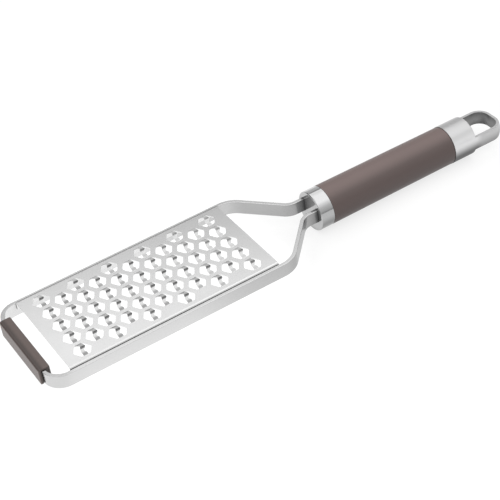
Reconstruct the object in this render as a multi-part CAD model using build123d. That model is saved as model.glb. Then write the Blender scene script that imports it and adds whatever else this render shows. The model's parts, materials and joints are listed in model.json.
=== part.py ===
"""Hand grater: a framed, toothed plate on a round handle with a hanging loop.

Millimetres. +X runs from the front foot to the hanging loop, +Z is up from the toothed side.
The pieces are drawn about the middle of the plate's top face, then moved so that the origin
lies under the middle of the whole tool, level with its lowest point.
"""
from build123d import *
from math import atan2, copysign, cos, radians, sqrt, tan
import os

# Perforated plate
plate_length = 127.0
plate_sheet = 0.6
plate_bend_radius = 1.1
flange_depth = 5.2
plate_side_gap = 0.25
hole_pitch = 12.0
hole_across_flats = 9.1
hole_corner_radius = 1.2
# The least bare metal between the holes and the plate's ends and sides
plate_end_margin = 6.0
plate_side_margin = 3.0

# Teeth, one arched Z-shaped strip across each hole
tooth_rise = 1.45
tooth_root = 0.4
# The Z's outline in shares of half the distance across a hole's flats:
# its front side from the +Y root to the -Y root, then its rear side back again
tooth_front_shares = [(-0.46, 1.0), (-0.07, 0.40), (-0.39, -0.42), (-0.34, -1.0)]
tooth_rear_shares = [(0.22, -1.0), (0.24, -0.83), (0.02, -0.50), (0.45, 0.05), (0.34, 1.0)]

# Frame band
band_width = 69.2
band_sheet = 2.2
band_height = 8.3
band_below_plate_top = 1.0
band_edge_round = 0.35
front_window = 10.0
front_corner_radius = 11.0
shoulder_overhang = 8.8
taper_length = 24.75
shoulder_radius = 16.0
neck_width = 15.9
neck_radius = 8.0
neck_length = 8.5
strip_in_ferrule = 10.0

# Front foot
foot_length = 47.8
foot_outer_wall = 1.5
foot_inner_wall = 2.5
foot_roof = 0.9
foot_sole_below_band = 0.4
foot_gap = 0.2
foot_outer_round = 1.2
foot_inner_round = 0.5
foot_end_round = 0.8

# Front ferrule
ferrule_radius = 11.95
ferrule_length = 8.5
ferrule_front_wall = 3.0
ferrule_edge_round = 0.8
slot_gap = 0.1

# Handle, whose axis lies a little below the middle of the band
handle_drop = 1.3
grip_length = 86.5
grip_rear_radius = 11.6
grip_edge_round = 0.3
core_radius = 10.6
core_bore_radius = 3.4
socket_radius = 9.8
fit_gap = 0.1

# Tie rod and tang block
rod_radius = 3.0
rod_gap = 0.05
block_length = 6.0
block_height = 11.0
block_end_gap = 0.2
rod_in_cap = 9.0
rod_end_gap = 0.8
rod_chamfer = 0.5

# End cap and hanging loop
cap_radius = 11.75
cap_length = 15.6
cap_edge_round = 0.8
spigot_radius = 8.0
spigot_length = 8.0
loop_reach = 22.2
loop_strap = 1.5
loop_height = 8.6
loop_corner_radius = 9.0
loop_edge_round = 0.3
loop_root = 2.0

# How far a cutting shape runs past what it cuts
overrun = 4.0

# Places along X, from the middle of the plate
plate_front_x = -plate_length / 2
plate_rear_x = plate_length / 2
band_front_x = plate_front_x - front_window - band_sheet
foot_front_x = band_front_x - foot_gap - foot_outer_wall
foot_inner_x = band_front_x + band_sheet + foot_gap + foot_inner_wall
shoulder_x = plate_rear_x + shoulder_overhang
neck_x = shoulder_x + taper_length
ferrule_front_x = neck_x + neck_length
ferrule_rear_x = ferrule_front_x + ferrule_length
core_front_x = ferrule_front_x + ferrule_front_wall + fit_gap
strip_end_x = ferrule_front_x + strip_in_ferrule
grip_rear_x = ferrule_rear_x + grip_length
cap_rear_x = grip_rear_x + cap_length
loop_rear_x = cap_rear_x + loop_reach

# Heights, from the plate's top face
band_top_z = -band_below_plate_top
band_bottom_z = band_top_z - band_height
band_middle_z = (band_top_z + band_bottom_z) / 2
axis_z = band_middle_z - handle_drop
foot_top_z = band_top_z + foot_gap + foot_roof
foot_bottom_z = band_bottom_z - foot_sole_below_band
lowest_z = min(foot_bottom_z, axis_z - max(ferrule_radius, grip_rear_radius, cap_radius))

# The drawn pieces are moved here
to_origin = Location((-(foot_front_x + loop_rear_x) / 2, 0, -lowest_z))

band_half = band_width / 2
plate_half = band_half - band_sheet - plate_side_gap
neck_half = neck_width / 2
honeycomb_turn = radians(30)
taper_turn = atan2(band_half - neck_half, taper_length)


def along_x(radius, start_x, end_x, end_radius=None):
    """A round bar, or a taper, on the handle's axis."""
    length = end_x - start_x
    place = Plane(origin=(start_x + length / 2, 0, axis_z), z_dir=(1, 0, 0))
    if end_radius is None:
        return place * Cylinder(radius, length)
    return place * Cone(radius, end_radius, length)


def closed_face(*lines):
    """A flat face inside lines that join end to end."""
    return Face(Wire([edge for line in lines for edge in line.edges()]))


def ribbon_face(outer, inner):
    """A flat face between two open lines that run the same way."""
    return closed_face(outer, Line(outer @ 1, inner @ 1), inner, Line(inner @ 0, outer @ 0))


def upright(face, height):
    """A flat face drawn on the level, raised by height."""
    return extrude(face, height, dir=(0, 0, 1))


def across_face(face, start_x, length):
    """A face drawn in Y and Z, drawn out along X."""
    section = Plane(origin=(start_x, 0, 0), x_dir=(0, 1, 0), z_dir=(1, 0, 0)) * face
    return extrude(section, length, dir=(1, 0, 0))


def hole_centers():
    """Centres of the honeycomb's holes, column by column, as many as the plate has room for."""
    column_step = hole_pitch * cos(honeycomb_turn)
    hole_across_corners = hole_across_flats / cos(honeycomb_turn)
    columns = 1 + int((plate_length - 2 * plate_end_margin - hole_across_corners) / column_step)
    full_count = 1 + int((2 * (plate_half - plate_side_margin) - hole_across_flats) / hole_pitch)
    centers = []
    for column in range(columns):
        x = (column - (columns - 1) / 2) * column_step
        count = full_count - column % 2
        for row in range(count):
            centers.append((x, ((count - 1) / 2 - row) * hole_pitch))
    return centers


def make_tooth():
    """One Z-shaped strip, arched over the hole, drawn at the middle of the plate."""
    half_flat = hole_across_flats / 2
    end = half_flat + tooth_root
    outline = []
    for shares in (tooth_front_shares, tooth_rear_shares):
        side = [(x * half_flat, y * half_flat) for x, y in shares]
        first = (side[0][0], copysign(end, side[0][1]))
        last = (side[-1][0], copysign(end, side[-1][1]))
        outline += [first, *side, last]
    height = 2 * (tooth_rise + plate_sheet)
    column = Pos(0, 0, -height / 2) * upright(make_face(Polyline(*outline, close=True)), height)
    low = -plate_sheet
    profile = [
        ThreePointArc((-end, 0), (0, tooth_rise), (end, 0)),
        Line((end, 0), (end, low)),
        ThreePointArc((end, low), (0, low + tooth_rise), (-end, low)),
        Line((-end, low), (-end, 0)),
    ]
    arch = across_face(closed_face(*profile), -hole_across_flats, 2 * hole_across_flats)
    return column & arch


def make_plate():
    """The sheet with its sides bent down, its holes and its teeth."""
    inner_half = plate_half - plate_sheet
    outer = FilletPolyline(
        (-plate_half, -flange_depth), (-plate_half, 0), (plate_half, 0), (plate_half, -flange_depth),
        radius=plate_bend_radius)
    inner = FilletPolyline(
        (-inner_half, -flange_depth), (-inner_half, -plate_sheet),
        (inner_half, -plate_sheet), (inner_half, -flange_depth),
        radius=plate_bend_radius - plate_sheet)
    plate = across_face(ribbon_face(outer, inner), plate_front_x, plate_length)
    hexagon = RegularPolygon(hole_across_flats / 2, 6, major_radius=False)
    hexagon = fillet(hexagon.vertices(), hole_corner_radius)
    cutter = Pos(0, 0, -plate_sheet - overrun) * upright(hexagon, plate_sheet + 2 * overrun)
    tooth = make_tooth()
    centers = hole_centers()
    plate -= [Pos(x, y, 0) * cutter for x, y in centers]
    plate += [Pos(x, y, 0) * tooth for x, y in centers]
    return plate


def band_outline(inset):
    """The band's plan, as a line drawn in from its outer side by inset."""
    shift = inset * tan(taper_turn / 2)
    side_y = band_half - inset
    neck_y = neck_half - inset
    front_x = band_front_x + inset
    side = [(strip_end_x, neck_y), (neck_x - shift, neck_y), (shoulder_x - shift, side_y), (front_x, side_y)]
    radii = [neck_radius + inset, shoulder_radius - inset, front_corner_radius - inset]
    points = side + [(x, -y) for x, y in reversed(side)]
    return FilletPolyline(*points, radius=radii + list(reversed(radii)))


def make_band():
    """The frame strip, on edge."""
    plan = ribbon_face(band_outline(0), band_outline(band_sheet))
    band = Pos(0, 0, band_bottom_z) * upright(plan, band_height)
    rims = band.edges().filter_by_position(Axis.Z, band_top_z, band_top_z)
    rims += band.edges().filter_by_position(Axis.Z, band_bottom_z, band_bottom_z)
    return fillet(rims, band_edge_round)


def make_foot():
    """The soft channel over the band's front."""
    profile = FilletPolyline(
        (foot_front_x, foot_bottom_z), (foot_front_x, foot_top_z),
        (foot_inner_x, foot_top_z), (foot_inner_x, foot_bottom_z),
        radius=[foot_outer_round, foot_inner_round])
    face = closed_face(profile, Line(profile @ 1, profile @ 0))
    section = Plane(origin=(0, foot_length / 2, 0), x_dir=(1, 0, 0), z_dir=(0, -1, 0)) * face
    foot = extrude(section, foot_length, dir=(0, -1, 0))
    ends = foot.faces().filter_by(Axis.Y)
    foot = fillet(ends.edges(), foot_end_round)
    plan = ribbon_face(band_outline(-foot_gap), band_outline(band_sheet + foot_gap))
    channel = upright(plan, foot_top_z - foot_roof - foot_bottom_z + overrun)
    return foot - Pos(0, 0, foot_bottom_z - overrun) * channel


def make_ferrule():
    """The polished front cap, with a slot for each strip end."""
    ferrule = along_x(ferrule_radius, ferrule_front_x, ferrule_rear_x)
    ferrule = fillet(ferrule.edges().sort_by(Axis.X)[0], ferrule_edge_round)
    ferrule -= along_x(core_radius + fit_gap, core_front_x - fit_gap, ferrule_rear_x + overrun)
    slot_length = 2 * (ferrule_front_wall + overrun)
    slot = Box(slot_length, band_sheet + 2 * slot_gap, band_height + 2 * slot_gap)
    slot_y = neck_half - band_sheet / 2
    for side in (1, -1):
        ferrule -= Pos(ferrule_front_x, side * slot_y, band_middle_z) * slot
    return ferrule


def rod_bar(radius, end_gap=0):
    """The rod, or the room for it, from the block's front into the cap."""
    return along_x(radius, core_front_x + block_end_gap, grip_rear_x + rod_in_cap + end_gap)


def make_block():
    """The block between the strip ends, with the rod's threaded hole."""
    width = neck_width - 2 * (band_sheet + slot_gap)
    middle_x = core_front_x + block_length / 2
    block = Pos(middle_x, 0, axis_z) * Box(block_length, width, block_height)
    return block - rod_bar(rod_radius + rod_gap)


def make_rod():
    """The tie rod."""
    rod = rod_bar(rod_radius)
    ends = rod.edges().filter_by(GeomType.CIRCLE)
    return chamfer(ends, rod_chamfer)


def make_core():
    """The hard tube under the grip: a front socket for the strip ends, a rear one for the cap."""
    core = along_x(core_radius, core_front_x, grip_rear_x)
    core -= along_x(core_bore_radius, core_front_x - overrun, grip_rear_x + overrun)
    core -= along_x(socket_radius, core_front_x - overrun, strip_end_x + block_end_gap)
    spigot_front_x = grip_rear_x - spigot_length - block_end_gap
    core -= along_x(spigot_radius + fit_gap, spigot_front_x, grip_rear_x + overrun)
    return core


def make_sleeve():
    """The soft skin of the grip, a slight taper."""
    sleeve = along_x(ferrule_radius, ferrule_rear_x + fit_gap, grip_rear_x - fit_gap, grip_rear_radius)
    ends = sleeve.edges().filter_by(GeomType.CIRCLE)
    sleeve = fillet(ends, grip_edge_round)
    return sleeve - along_x(core_radius + fit_gap, core_front_x, grip_rear_x + overrun)


def make_loop():
    """The hanging loop: a strap as round outside as the cap's side, bent around the eye."""
    start_x = cap_rear_x - loop_root
    half_height = loop_height / 2
    arcs = []
    for radius in (cap_radius, cap_radius - loop_strap):
        rim_y = sqrt(radius ** 2 - half_height ** 2)
        arcs.append(ThreePointArc((rim_y, -half_height), (radius, 0), (rim_y, half_height)))
    section = Plane(origin=(start_x, 0, axis_z), x_dir=(0, 1, 0), z_dir=(1, 0, 0)) * ribbon_face(*arcs)
    path = FilletPolyline(
        (start_x, cap_radius), (loop_rear_x, cap_radius), (loop_rear_x, -cap_radius), (start_x, -cap_radius),
        radius=loop_corner_radius)
    loop = sweep(section, Pos(0, 0, axis_z) * path)
    rims = loop.edges().filter_by_position(Axis.Z, axis_z + half_height, axis_z + half_height)
    rims += loop.edges().filter_by_position(Axis.Z, axis_z - half_height, axis_z - half_height)
    return fillet(rims, loop_edge_round)


def make_cap():
    """The end cap with its spigot, its threaded hole and the hanging loop."""
    cap = along_x(cap_radius, grip_rear_x, cap_rear_x)
    cap = fillet(cap.edges().sort_by(Axis.X)[-1], cap_edge_round)
    cap += along_x(spigot_radius, grip_rear_x - spigot_length, grip_rear_x)
    cap += make_loop()
    return cap - rod_bar(rod_radius + rod_gap, rod_end_gap)


pieces = {
    "grater_plate": make_plate,
    "frame_band": make_band,
    "front_foot": make_foot,
    "front_ferrule": make_ferrule,
    "tang_block": make_block,
    "tie_rod": make_rod,
    "grip_core": make_core,
    "grip_sleeve": make_sleeve,
    "end_cap": make_cap,
}

os.makedirs("parts", exist_ok=True)
for name, make in pieces.items():
    shape = make().moved(to_origin)
    export_step(shape, os.path.join("parts", name + ".step"))
    print(name, round(shape.volume, 1), "mm3")
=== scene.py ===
"""Studio picture of the hand grater: finishes, floor, light and camera around the fixed frame.

Metres, in the frame's own axes: +X from the front foot to the hanging loop, +Z up, -Y the near side.
"""
import json
import math

import bpy
from mathutils import Matrix, Vector

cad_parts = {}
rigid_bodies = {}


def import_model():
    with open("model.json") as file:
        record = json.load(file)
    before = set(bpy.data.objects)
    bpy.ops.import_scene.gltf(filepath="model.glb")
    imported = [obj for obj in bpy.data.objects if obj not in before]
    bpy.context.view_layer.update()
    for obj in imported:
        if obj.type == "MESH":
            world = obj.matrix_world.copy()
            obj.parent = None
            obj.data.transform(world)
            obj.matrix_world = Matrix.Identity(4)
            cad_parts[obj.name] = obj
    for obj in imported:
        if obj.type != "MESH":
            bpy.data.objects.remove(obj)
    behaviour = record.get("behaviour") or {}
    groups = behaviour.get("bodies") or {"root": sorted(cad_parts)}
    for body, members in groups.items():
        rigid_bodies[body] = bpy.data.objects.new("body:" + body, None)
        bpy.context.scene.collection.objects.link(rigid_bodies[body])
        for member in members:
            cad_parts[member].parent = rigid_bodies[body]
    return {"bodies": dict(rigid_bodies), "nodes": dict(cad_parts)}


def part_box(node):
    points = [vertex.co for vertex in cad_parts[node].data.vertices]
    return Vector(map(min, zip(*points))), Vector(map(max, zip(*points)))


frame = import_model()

MM = 0.001
nodes = frame["nodes"]

# The start-up scene's own cube, lamp and camera go
for item in list(bpy.data.objects):
    if item not in nodes.values() and item not in frame["bodies"].values():
        bpy.data.objects.remove(item)

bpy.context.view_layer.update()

# Camera, from the photograph's perspective of the honeycomb of holes
focal_pixels = 1457.0
photo_pixels = 500.0
sensor_width_mm = 36.0
nearest_drawn = 0.01
farthest_drawn = 20.0
# The camera's place from the middle of the plate's top face
camera_place = Vector((-222.7, -555.3, 503.4)) * MM
# The way the camera looks, and the way to its right
camera_forward = Vector((0.3540, 0.6853, -0.6364))
camera_right = Vector((0.8369, -0.5355, -0.1111))

# Floor: its own grey, and the glow that lifts it to white where the camera, steel or glass sees it
floor_half = 3.0
floor_grey = 0.28
floor_glow = 0.75
# More glow in the plate's own shadow, which shows through its holes
shadow_glow = 0.22
shadow_fade = 18 * MM

# Sky, as (height of the direction, grey) pairs: the near side is -Y, the far side +Y
sky_strength = 1.40
near_sky = [
    (0.0, 0.30), (0.06, 0.32), (0.14, 0.50), (0.5, 0.54), (0.7, 0.76), (0.82, 1.0), (0.92, 1.0),
    (0.97, 0.74)]
far_sky = [
    (0.0, 0.58), (0.2, 0.46), (0.40, 0.44), (0.57, 0.24), (0.615, 0.24), (0.645, 1.0), (0.66, 1.0),
    (0.69, 0.80), (0.78, 0.84), (0.88, 1.0), (0.92, 1.0), (0.97, 0.74)]
# The near sky passes into the far sky between these values of the direction's Y
sides_meet = (-0.15, 0.25)

# A dark card low on the far left, which the foot's rounded edge shows
card_azimuth = 135
card_elevation = 22
card_grey = 0.10
# The cosines of the angles from the card's middle to its outer and its inner edge
card_edges = (0.86, 0.95)

# A soft lamp on the left, level with the foot
foot_lamp_place = Vector((-500, -60, 110)) * MM
foot_lamp_size = 200 * MM
foot_lamp_power = 1.7

# Places on the tool
plate_low, plate_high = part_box("grater_plate")
foot_low, foot_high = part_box("front_foot")
cap_low, cap_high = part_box("end_cap")
ferrule_front_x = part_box("front_ferrule")[0].x
tooth_rise = 1.45 * MM
plate_top_z = plate_high.z - tooth_rise
plate_middle_x = (plate_low.x + plate_high.x) / 2
# The painted dark line, a painted shadow, between the plate's far edge and the frame
seam_y = plate_high.y + 0.25 * MM
# Where the frame turns in behind the plate, and where it runs straight again
shoulder_x = plate_high.x + 8.8 * MM
neck_x = ferrule_front_x - 8.5 * MM
# The loop reaches this far behind the end cap
loop_reach = 22.2 * MM
cap_rear_x = cap_high.x - loop_reach
eye_middle = (cap_rear_x + loop_reach / 2, 0, (cap_low.z + cap_high.z) / 2)


def direction(azimuth, elevation):
    """A unit vector: azimuth from +X towards +Y, both in degrees."""
    level = math.cos(math.radians(elevation))
    turn = math.radians(azimuth)
    return (level * math.cos(turn), level * math.sin(turn), math.sin(math.radians(elevation)))


def make_camera():
    """The camera at the photograph's angle."""
    data = bpy.data.cameras.new("photo_camera")
    data.sensor_width = sensor_width_mm
    data.lens = focal_pixels / photo_pixels * sensor_width_mm
    data.clip_start = nearest_drawn
    data.clip_end = farthest_drawn
    camera = bpy.data.objects.new("photo_camera", data)
    bpy.context.scene.collection.objects.link(camera)
    back = -camera_forward.normalized()
    right = (camera_right - camera_right.dot(back) * back).normalized()
    up = back.cross(right)
    turn = Matrix((right, up, back)).transposed().to_4x4()
    place = Vector((plate_middle_x, 0, plate_top_z)) + camera_place
    camera.matrix_world = Matrix.Translation(place) @ turn
    bpy.context.scene.camera = camera


# Samples of the two nodes that look for crevices and for edges
crevice_samples = 16
edge_samples = 4
# An edge shows between these cosines of the turn from the flat surface to the rounded one
edge_cosines = (0.99, 0.88)


class Shader:
    """A node tree, with short calls to add and link its nodes."""

    def __init__(self, owner):
        owner.use_nodes = True
        self.tree = owner.node_tree
        self.tree.nodes.clear()

    def add(self, kind, inputs=None, **settings):
        """A node; inputs are values, or sockets to link."""
        node = self.tree.nodes.new(kind)
        for name, value in settings.items():
            setattr(node, name, value)
        for name, value in (inputs or {}).items():
            if isinstance(value, bpy.types.NodeSocket):
                self.tree.links.new(value, node.inputs[name])
            else:
                node.inputs[name].default_value = value
        return node

    def math(self, operation, first, second=0.0):
        """One calculation with two values or sockets."""
        return self.add("ShaderNodeMath", {0: first, 1: second}, operation=operation).outputs[0]

    def product(self, *factors):
        """All the factors multiplied."""
        total = factors[0]
        for factor in factors[1:]:
            total = self.math("MULTIPLY", total, factor)
        return total

    def dot(self, first, second):
        """The dot product of two vectors."""
        inputs = {0: first, 1: second}
        return self.add("ShaderNodeVectorMath", inputs, operation="DOT_PRODUCT").outputs["Value"]

    def ramp(self, value, stops):
        """A grey or coloured ramp; stops are (place, colour) pairs."""
        node = self.add("ShaderNodeValToRGB", {"Fac": value})
        elements = node.color_ramp.elements
        # A new stop starts halfway, and is then set to its own place
        while len(elements) < len(stops):
            elements.new(0.5)
        for element, (place, colour) in zip(elements, stops):
            element.position = place
            element.color = (*colour, 1) if isinstance(colour, tuple) else (colour, colour, colour, 1)
        return node.outputs["Color"]

    def spread(self, value, low, high):
        """Maps 0..1 to low..high."""
        inputs = {"Value": value, "To Min": low, "To Max": high}
        return self.add("ShaderNodeMapRange", inputs).outputs["Result"]

    def step(self, value, start, end, low=0.0, high=1.0):
        """Goes smoothly from low, where the value is start, to high, where it is end."""
        inputs = {"Value": value, "From Min": start, "From Max": end, "To Min": low, "To Max": high}
        return self.add("ShaderNodeMapRange", inputs, interpolation_type="SMOOTHSTEP").outputs["Result"]

    def blend(self, share, first, second):
        """From the first value or socket, where share is 0, to the second, where it is 1."""
        rest = self.math("SUBTRACT", 1.0, share)
        return self.math("ADD", self.product(first, rest), self.product(second, share))

    def parts(self, vector):
        """The x, y and z of a vector."""
        return self.add("ShaderNodeSeparateXYZ", {"Vector": vector}).outputs

    def point(self):
        """The point's place, in metres."""
        return self.add("ShaderNodeTexCoord").outputs["Object"]

    def facing(self):
        """The way the surface faces."""
        return self.add("ShaderNodeNewGeometry").outputs["Normal"]

    def noise(self, waves, detail, stretch=(1, 1, 1)):
        """Noise over the object's own metres."""
        mapped = self.add("ShaderNodeMapping", {"Vector": self.point(), "Scale": stretch}).outputs["Vector"]
        inputs = {"Vector": mapped, "Scale": waves, "Detail": detail}
        return self.add("ShaderNodeTexNoise", inputs).outputs["Fac"]

    def openness(self, reach):
        """1 in the open, towards 0 in a crevice as deep as reach."""
        inputs = {"Distance": reach}
        return self.add("ShaderNodeAmbientOcclusion", inputs, samples=crevice_samples).outputs["AO"]

    def edges(self, radius):
        """1 along sharp edges, 0 on the faces."""
        rounded = self.add("ShaderNodeBevel", {"Radius": radius}, samples=edge_samples).outputs["Normal"]
        return self.step(self.dot(self.facing(), rounded), *edge_cosines)

    def tint(self, colour, room, factors):
        """The colour times the factors, which may rise to one over room before they are cut off."""
        brightest = tuple(channel / room for channel in colour)
        return self.ramp(self.product(room, *factors), [(0.0, 0.0), (1.0, brightest)])

    def bumpy_surface(self, metallic, tint, roughness, bump):
        """Ends the tree in a surface with fine bumps; bump is (height, strength, distance)."""
        height, strength, distance = bump
        inputs = {"Height": height, "Strength": strength, "Distance": distance}
        bumpy = self.add("ShaderNodeBump", inputs).outputs["Normal"]
        inputs = {"Base Color": tint, "Metallic": metallic, "Roughness": roughness, "Normal": bumpy}
        self.surface(self.add("ShaderNodeBsdfPrincipled", inputs))

    def surface(self, shader):
        """Ends the tree in its output."""
        for_world = isinstance(self.tree.id_data, bpy.types.World)
        kind = "ShaderNodeOutputWorld" if for_world else "ShaderNodeOutputMaterial"
        self.add(kind, {"Surface": shader.outputs[0]})


# The pairs and fours below are fades for Shader.step: where a value starts and ends, and the tones there,
# which are 0 and 1 if they aren't named. A slope is a fade over the Z of the way that the surface faces:
# 1 faces up, 0 is upright and -1 faces down.

# Plate: off its bent sides, from its top up onto a tooth, and into the strip along a crest that is painted
# dark as a reflection
plate_level_slope = (0.3, 0.7)
tooth_foot = (plate_top_z, plate_top_z + 0.08 * tooth_rise)
crest_strip = (plate_top_z + 0.955 * tooth_rise, plate_top_z + 0.982 * tooth_rise)
# Painted reflection tones of the crests and of the near roots, over the way to the plate's far rear corner
crest_away = (10 * MM, 80 * MM, 0.26, 0.88)
near_root_away = (-30 * MM, 40 * MM, 0.56, 0.95)
# From a tooth's near half to its far half, over the Y of the way that the surface faces
near_to_far = (-0.05, 0.05)
# How the painted shade of the two halves deepens with their slope, and where the near root starts
near_half_slope = (0.998, 0.985, 1.0, 0.78)
far_half_slope = (0.97, 0.92, 1.0, 0.80)
near_root_slope = (0.955, 0.905)
# Painted shade in the crevices beside the teeth: how deep they are looked for, and their tones over the
# openness
tooth_crevice_reach = 2 * MM
tooth_crevice_shade = (0.2, 0.78, 0.35, 1.0)


def tooth_painted_shading(sh):
    """The plate's painted shading: crests painted dark as a reflection, and painted shade where the teeth
    are drawn steepest.
    """
    place = sh.parts(sh.point())
    facing = sh.parts(sh.facing())
    away = sh.math("ADD", sh.math("SUBTRACT", place["X"], plate_middle_x), place["Y"])
    crest = sh.blend(sh.step(place["Z"], *crest_strip), 1.0, sh.step(away, *crest_away))
    near_root = sh.blend(sh.step(facing["Z"], *near_root_slope), 1.0, sh.step(away, *near_root_away))
    near_half = sh.product(sh.step(facing["Z"], *near_half_slope), near_root)
    far_half = sh.step(facing["Z"], *far_half_slope)
    halves = sh.blend(sh.step(facing["Y"], *near_to_far), near_half, far_half)
    crevice = sh.step(sh.openness(tooth_crevice_reach), *tooth_crevice_shade)
    on_tooth = sh.product(sh.step(facing["Z"], *plate_level_slope), sh.step(place["Z"], *tooth_foot))
    return sh.blend(on_tooth, 1.0, sh.product(crest, halves, crevice))


# Frame: from its level edges to its upright faces, over how far the surface faces up or down
band_upright = (0.8, 0.3)
# Painted shade on the upright faces, across the tool and then along it
near_side = (-5 * MM, -15 * MM, 1.0, 0.86)
flank = (shoulder_x - 75 * MM, shoulder_x - 15 * MM, 1.0, 0.76)
shoulder = (shoulder_x - 6 * MM, shoulder_x + 6 * MM, 1.0, 0.76)
neck = (neck_x, ferrule_front_x, 1.0, 0.64)
# Painted shade on the level edges: round the front, and across the painted dark line beside the plate's far
# edge
front_turn = (plate_low.x + 4 * MM, plate_low.x - 5 * MM, 1.0, 0.78)
seam_shadow_fade = (seam_y + 0.6 * MM, seam_y + 1.0 * MM, 0.35, 1.0)
# The painted dark line keeps to the far side, and to the plate's length
far_side = (0, seam_y)
behind_front = (plate_low.x - 1 * MM, plate_low.x + 2 * MM)
before_rear = (plate_high.x + 3 * MM, plate_high.x - 1 * MM)


def band_painted_shading(sh):
    """The frame's painted shading: upright faces darker towards the ferrule, and a painted dark line by the
    plate.
    """
    place = sh.parts(sh.point())
    along_tool = [sh.step(place["X"], *fade) for fade in (flank, shoulder, neck)]
    upright_tone = sh.product(sh.step(place["Y"], *near_side), *along_tool)
    along_plate = [sh.step(place["X"], *fade) for fade in (behind_front, before_rear)]
    beside_plate = sh.product(sh.step(place["Y"], *far_side), *along_plate)
    seam_shadow_tone = sh.blend(beside_plate, 1.0, sh.step(place["Y"], *seam_shadow_fade))
    level_tone = sh.product(seam_shadow_tone, sh.step(place["X"], *front_turn))
    facing = sh.parts(sh.facing())
    upright = sh.step(sh.math("ABSOLUTE", facing["Z"]), *band_upright)
    return sh.blend(upright, level_tone, upright_tone)


# Cap: painted shade tones of its top, of its lower half and of its strap, and the way from the cap onto the
# strap
cap_top_slope = (0.78, 0.50, 0.66, 1.0)
cap_low_slope = (0.50, -0.35, 1.0, 0.15)
strap_slope = (0.40, -0.40, 0.66, 0.30)
cap_to_strap = (cap_rear_x, cap_rear_x + 5 * MM)
# Over the distance from the eye's middle to the surface's plane, below 0 where it faces the eye
facing_eye = (-2 * MM, -5 * MM)
# Painted shade where the strap faces the loop's eye
eye_shade_tone = 0.54


def cap_painted_shading(sh):
    """The cap's painted shading: darker on top, below, and where the strap faces the loop's eye."""
    inputs = {0: sh.point(), 1: eye_middle}
    outward = sh.add("ShaderNodeVectorMath", inputs, operation="SUBTRACT").outputs["Vector"]
    towards_eye = sh.step(sh.dot(outward, sh.facing()), *facing_eye)
    on_strap = sh.step(sh.parts(sh.point())["X"], *cap_to_strap)
    eye = sh.blend(sh.product(towards_eye, on_strap), 1.0, eye_shade_tone)
    up = sh.parts(sh.facing())["Z"]
    cap_tone = sh.product(sh.step(up, *cap_top_slope), sh.step(up, *cap_low_slope))
    return sh.product(eye, sh.blend(on_strap, cap_tone, sh.step(up, *strap_slope)))


# Ferrule: from its ends to its round side, over how far the surface faces along the tool
ferrule_side = (0.7, 0.3)
# Painted shade on its end faces
ferrule_end_shade = 0.86
# The round side has painted shade below its top, and deeper painted shade towards its underside
ferrule_top_slope = (0.70, 0.40, 1.0, 0.74)
ferrule_low_slope = (0.15, -0.30, 1.0, 0.62)


def ferrule_painted_shading(sh):
    """The ferrule's painted shading: darker ends, and a round side that is darker towards its underside."""
    facing = sh.parts(sh.facing())
    side = sh.step(sh.math("ABSOLUTE", facing["X"]), *ferrule_side)
    side_tones = [sh.step(facing["Z"], *slope) for slope in (ferrule_top_slope, ferrule_low_slope)]
    return sh.blend(side, ferrule_end_shade, sh.product(*side_tones))


# Foot: its top, and the painted reflection tones from its rounded outer edge inwards
foot_top_slope = (0.3, 0.8)
foot_rim = (foot_low.x + 1.5 * MM, foot_low.x + 4 * MM, 0.52, 1.0)


def foot_painted_reflection(sh):
    """The foot's painted reflection: its top is darker towards its rounded outer edge."""
    rim = sh.step(sh.parts(sh.point())["X"], *foot_rim)
    return sh.blend(sh.step(sh.parts(sh.facing())["Z"], *foot_top_slope), 1.0, rim)


# Steel: its brushed streaks, with their waves per metre, tones, and strength and height as a bump
streak_waves = 5000.0
streak_detail = 3.0
streak_tones = (0.93, 1.03)
streak_bump = 0.05
streak_height = 0.02 * MM
smudge_waves = 90.0
smudge_detail = 2.0
# How far the streaks and the smudges swing the roughness
streak_swing = 0.06
smudge_swing = 0.05
# Its edges: how wide they show, their painted highlight tone, and how much smoother they are
steel_edge_radius = 0.35 * MM
steel_edge_highlight = 1.06
steel_edge_polish = 0.04
# Painted shade in a crevice: the openness at its bottom and at its brim
steel_crevice_shade = (0.25, 0.90)
# The tones may rise to one over this before they are cut off
steel_room = 0.9


def steel(name, colour, roughness, brushed, crevice=None, painted_shading=None, painted_edge_tone=steel_edge_highlight):
    """Brushed steel: streaks along one axis, a painted tone along its edges, painted shade in its crevices.

    A crevice is (reach, tone of the painted shade at its bottom).
    """
    material = bpy.data.materials.new(name)
    sh = Shader(material)
    streaks = sh.noise(streak_waves, streak_detail, brushed)
    smudges = sh.noise(smudge_waves, smudge_detail)
    edge = sh.edges(steel_edge_radius)
    factors = [sh.spread(streaks, *streak_tones), sh.spread(edge, 1.0, painted_edge_tone)]
    if crevice:
        reach, bottom_tone = crevice
        factors.append(sh.step(sh.openness(reach), *steel_crevice_shade, bottom_tone, 1.0))
    if painted_shading:
        factors.append(painted_shading(sh))
    tint = sh.tint(colour, steel_room, factors)
    swing = sh.math("ADD", sh.product(streaks, streak_swing), sh.product(smudges, smudge_swing))
    rough = sh.math("ADD", swing, roughness - (streak_swing + smudge_swing) / 2)
    rough = sh.math("SUBTRACT", rough, sh.product(edge, steel_edge_polish))
    sh.bumpy_surface(1.0, tint, rough, (streaks, streak_bump, streak_height))
    return material


# Rubber: its moulded grain and its blotches, with the same kinds of value as the steel's
grain_waves = 5200.0
grain_detail = 2.0
grain_bump = 0.12
grain_height = 0.03 * MM
blotch_waves = 60.0
blotch_detail = 3.0
blotch_tones = (0.95, 1.05)
blotch_swing = 0.03
# Its edges: how wide they show, their painted highlight tone, and how much smoother they are
rubber_edge_radius = 0.5 * MM
rubber_edge_highlight = 1.08
rubber_edge_polish = 0.06
# Painted light and shade: paler where it faces up, darker below that, and painted shade in its crevices
painted_light_slope = (0.68, 0.99, 0.76, 1.20)
rubber_crevice_reach = 3 * MM
rubber_crevice_shade = (0.2, 0.9, 0.35, 1.0)
rubber_room = 0.8


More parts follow.
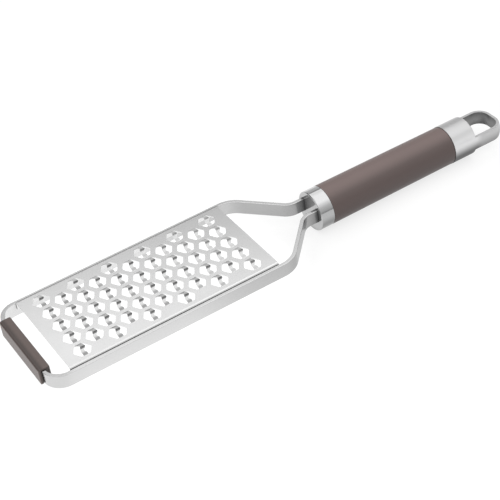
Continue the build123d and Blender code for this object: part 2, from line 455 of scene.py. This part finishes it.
def soft_rubber(name, colour, roughness, painted_shading=None):
    """Soft-touch rubber or plastic: a fine moulded grain, rubbed smoother along its edges, with painted
    light, painted shade and a painted edge highlight.
    """
    material = bpy.data.materials.new(name)
    sh = Shader(material)
    grain = sh.noise(grain_waves, grain_detail)
    blotches = sh.noise(blotch_waves, blotch_detail)
    edge = sh.edges(rubber_edge_radius)
    factors = [
        sh.step(sh.parts(sh.facing())["Z"], *painted_light_slope),
        sh.step(sh.openness(rubber_crevice_reach), *rubber_crevice_shade),
        sh.spread(blotches, *blotch_tones),
        sh.spread(edge, 1.0, rubber_edge_highlight)]
    if painted_shading:
        factors.append(painted_shading(sh))
    tint = sh.tint(colour, rubber_room, factors)
    rough = sh.spread(blotches, roughness - blotch_swing, roughness + blotch_swing)
    rough = sh.math("SUBTRACT", rough, sh.product(edge, rubber_edge_polish))
    sh.bumpy_surface(0.0, tint, rough, (grain, grain_bump, grain_height))
    return material


# The ways that the steel was brushed: along the tool, or around its axis
along = (0.02, 1, 1)
around = (1, 0.02, 0.02)
# The block and the rod inside the handle are alike
hidden_steel = (0.55, 0.55, 0.56)
hidden_roughness = 0.35
# Painted shade in their crevices
hidden_crevice_shade = (5 * MM, 0.3)

# Each node's material: its name, colour and roughness, for steel the way it was brushed and the painted
# shade in its crevices, then its painted shading and the painted tone of its edges, darker than the default
# highlight on the frame and ferrule
finishes = {
    "grater_plate": steel("plate_steel", (0.745, 0.745, 0.745), 0.18, along, None, tooth_painted_shading),
    "frame_band": steel(
        "frame_steel", (0.715, 0.715, 0.715), 0.22, along, (7 * MM, 0.28), band_painted_shading, 0.86),
    "front_ferrule": steel(
        "ferrule_steel", (0.61, 0.612, 0.615), 0.13, around, (6 * MM, 0.35), ferrule_painted_shading, 0.85),
    "end_cap": steel("cap_steel", (0.94, 0.94, 0.943), 0.40, along, (12 * MM, 0.30), cap_painted_shading),
    "tang_block": steel("block_steel", hidden_steel, hidden_roughness, around, hidden_crevice_shade),
    "tie_rod": steel("rod_steel", hidden_steel, hidden_roughness, around, hidden_crevice_shade),
    "front_foot": soft_rubber("foot_rubber", (0.085, 0.064, 0.058), 0.38, foot_painted_reflection),
    "grip_sleeve": soft_rubber("grip_skin", (0.150, 0.110, 0.103), 0.42),
    "grip_core": soft_rubber("core_plastic", (0.030, 0.030, 0.030), 0.50),
}
for node, finish in finishes.items():
    for slot in nodes[node].material_slots:
        slot.material = finish


def make_floor():
    """A pale floor under the tool: white to the camera, with the tool's soft shadow."""
    mesh = bpy.data.meshes.new("floor")
    corners = [(-1, -1), (1, -1), (1, 1), (-1, 1)]
    mesh.from_pydata([(x * floor_half, y * floor_half, 0) for x, y in corners], [], [(0, 1, 2, 3)])
    floor = bpy.data.objects.new("floor", mesh)
    bpy.context.scene.collection.objects.link(floor)
    material = bpy.data.materials.new("floor_white")
    sh = Shader(material)
    extra = sh.product(plate_shadow(sh), shadow_glow)
    path = sh.add("ShaderNodeLightPath").outputs
    mirrored = sh.math("MAXIMUM", path["Is Glossy Ray"], path["Is Transmission Ray"])
    seen = sh.math("MAXIMUM", path["Is Camera Ray"], mirrored)
    strength = sh.product(seen, sh.math("ADD", extra, floor_glow))
    glow = sh.add("ShaderNodeEmission", {"Color": (1, 1, 1, 1), "Strength": strength})
    matt = sh.add("ShaderNodeBsdfDiffuse", {"Color": (floor_grey, floor_grey, floor_grey, 1)})
    sh.surface(sh.add("ShaderNodeAddShader", {0: matt.outputs[0], 1: glow.outputs[0]}))
    mesh.materials.append(material)


def plate_shadow(sh):
    """1 on the floor under the plate and as far from it as a slanting look through the plate reaches."""
    shift = camera_forward / -camera_forward.z * plate_top_z
    place = sh.parts(sh.point())
    reaches = {
        "X": (plate_low.x, plate_high.x + shift.x),
        "Y": (plate_low.y - shift.y, plate_high.y + shift.y)}
    shares = []
    for axis, (low, high) in reaches.items():
        shares.append(sh.step(place[axis], low - shadow_fade, low + shadow_fade))
        shares.append(sh.step(place[axis], high + shadow_fade, high - shadow_fade))
    return sh.product(*shares)


def make_world():
    """Soft white surroundings with the dimmer bands that the steel shows."""
    world = bpy.data.worlds.new("studio")
    bpy.context.scene.world = world
    sh = Shader(world)
    way = sh.add("ShaderNodeTexCoord").outputs["Generated"]
    parts = sh.parts(way)
    farness = sh.step(parts["Y"], *sides_meet)
    sky = sh.blend(farness, sh.ramp(parts["Z"], near_sky), sh.ramp(parts["Z"], far_sky))
    nearness = sh.dot(way, direction(card_azimuth, card_elevation))
    tone = sh.blend(sh.step(nearness, *card_edges), sky, card_grey)
    sh.surface(sh.add("ShaderNodeBackground", {"Color": tone, "Strength": sky_strength}))


def make_foot_lamp():
    """A soft square lamp aimed at the foot."""
    data = bpy.data.lights.new("foot_lamp", "AREA")
    data.shape = "SQUARE"
    data.size = foot_lamp_size
    data.energy = foot_lamp_power
    lamp = bpy.data.objects.new("foot_lamp", data)
    lamp.visible_glossy = False
    bpy.context.scene.collection.objects.link(lamp)
    aim = (foot_low + foot_high) / 2 - foot_lamp_place
    turn = aim.to_track_quat("-Z", "Y").to_matrix().to_4x4()
    lamp.matrix_world = Matrix.Translation(foot_lamp_place) @ turn


make_camera()
make_floor()
make_world()
make_foot_lamp()

bpy.context.scene.view_settings.view_transform = "Standard"
